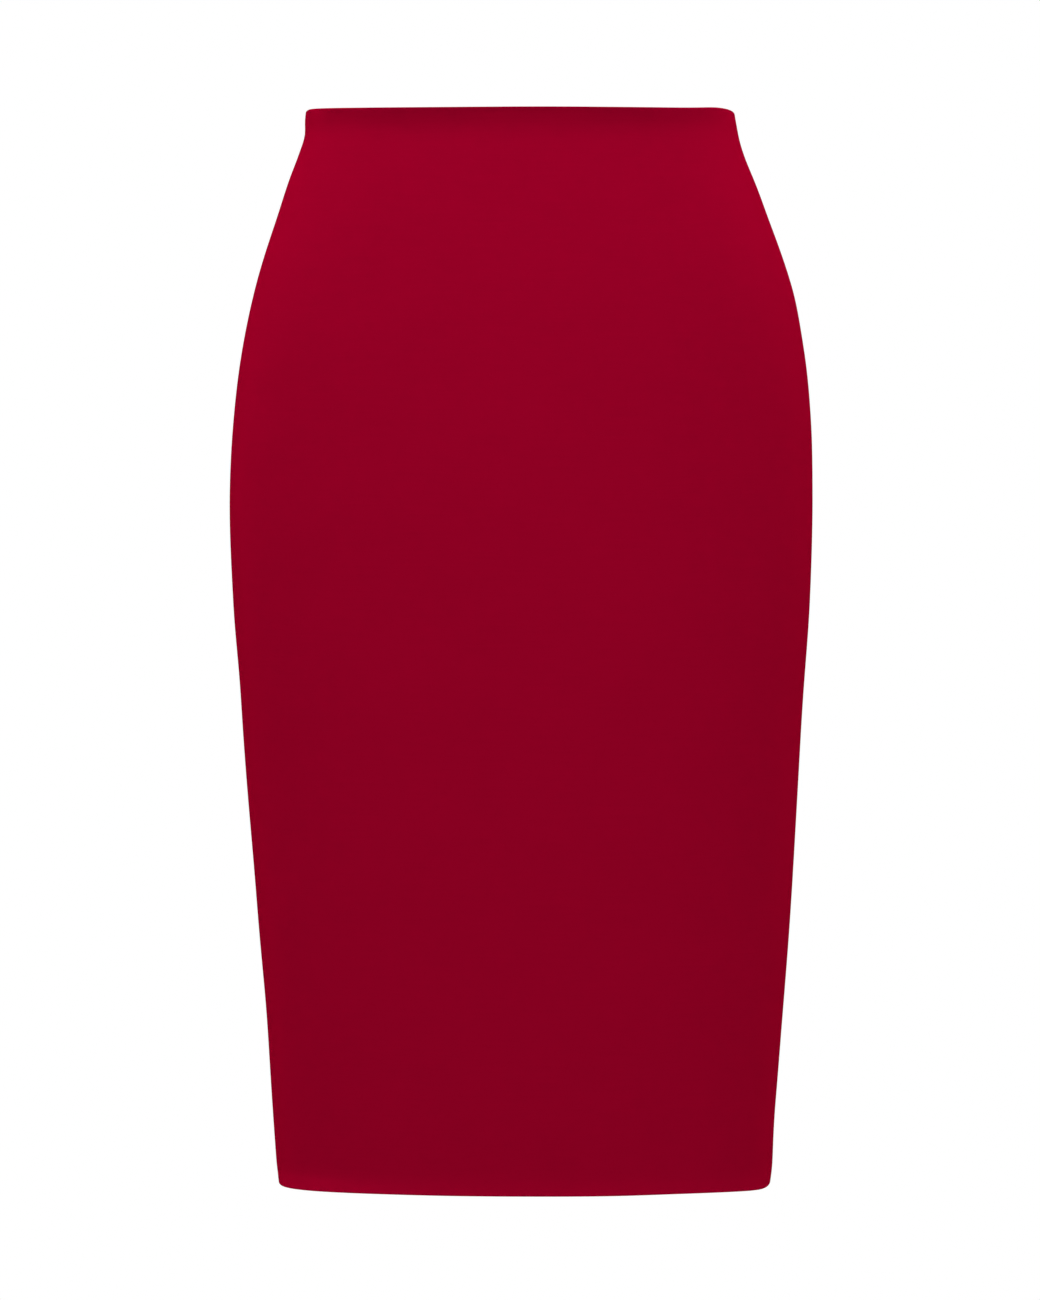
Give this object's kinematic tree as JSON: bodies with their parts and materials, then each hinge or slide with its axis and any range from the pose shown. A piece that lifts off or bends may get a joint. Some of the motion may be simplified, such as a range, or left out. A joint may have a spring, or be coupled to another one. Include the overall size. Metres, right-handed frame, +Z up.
{
  "type": "pencil skirt",
  "caption": "Knee-length pull-on pencil skirt in plain heavy stretch knit, hollow as worn, with a turned waist casing and a turned hem.",
  "frame": {"origin": "middle of the waist casing, 10 mm below the top edge, in the plane of the side seams", "axes": "+Z up the wearer's body, -Y to the front, +X to the wearer's left"},
  "size_m": [0.345, 0.2387, 0.634],
  "materials": {
    "knit_cloth": "matt, plain crimson double knit"
  },
  "bodies": {
    "root": {"front_panel": "knit_cloth", "back_left_panel": "knit_cloth", "back_right_panel": "knit_cloth"}
  },
  "joints": []
}
